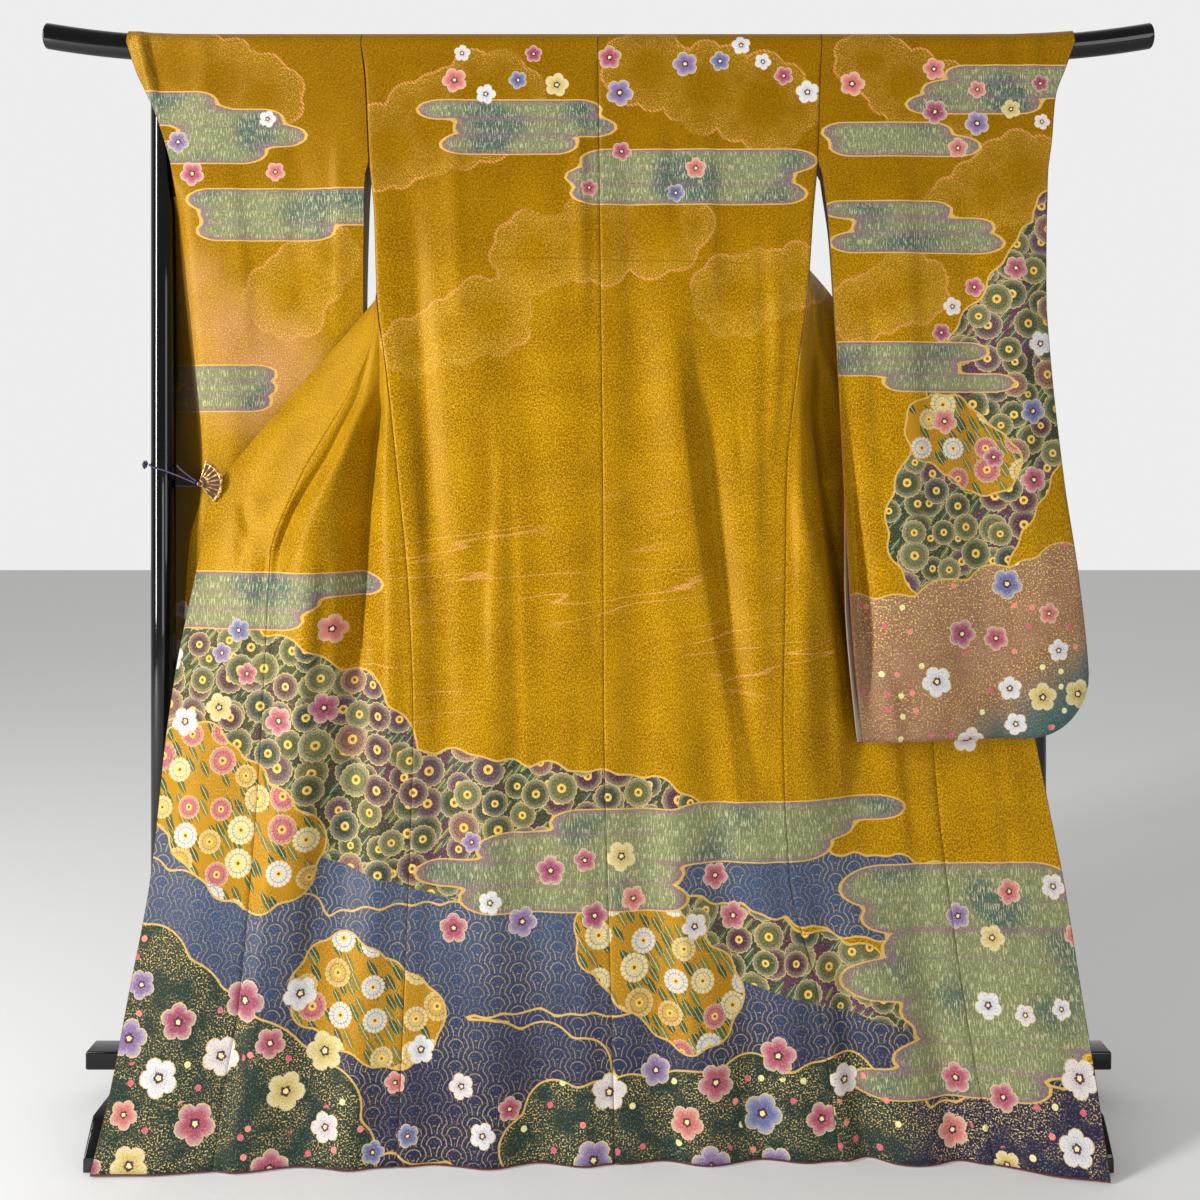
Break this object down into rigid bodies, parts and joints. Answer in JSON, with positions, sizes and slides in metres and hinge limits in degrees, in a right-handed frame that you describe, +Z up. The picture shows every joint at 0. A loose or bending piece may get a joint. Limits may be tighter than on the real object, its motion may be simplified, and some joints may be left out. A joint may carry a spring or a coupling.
{
  "type": "furisode kimono on a kimono stand",
  "caption": "Long-sleeved silk kimono opened over the rail of a black lacquered stand, its back and a flowered hem shown, one front pinned out with a fan clip.",
  "frame": {"origin": "on the floor, below the middle of the bounding box", "axes": "+X along the rail from the garment's left sleeve to its right one, +Z up; the garment's back faces -Y"},
  "size_m": [1.56, 0.4654, 1.508],
  "materials": {
    "silk": "mustard gold figured silk satin, dyed and flowered towards the hem, with gold dust",
    "hem_lining": "matt red silk",
    "lacquer": "gloss black lacquer on wood",
    "brass": "antique, satin",
    "cord": "matt twisted cord"
  },
  "bodies": {
    "root": {"body_left": "silk", "body_right": "silk", "okumi_left": "silk", "okumi_right": "silk", "sleeve_left": "silk", "sleeve_right": "silk", "collar": "silk", "hem_roll_left": "hem_lining", "hem_roll_right": "hem_lining", "top_rail": "lacquer", "post_left": "lacquer", "post_right": "lacquer", "foot_left": "lacquer", "foot_right": "lacquer", "lower_bar": "lacquer", "middle_bar": "lacquer", "fan_clip": "brass", "fan_rivet": "brass", "clip_spring": "brass", "tie_cord": "cord", "cord_knot": "cord"}
  },
  "joints": []
}
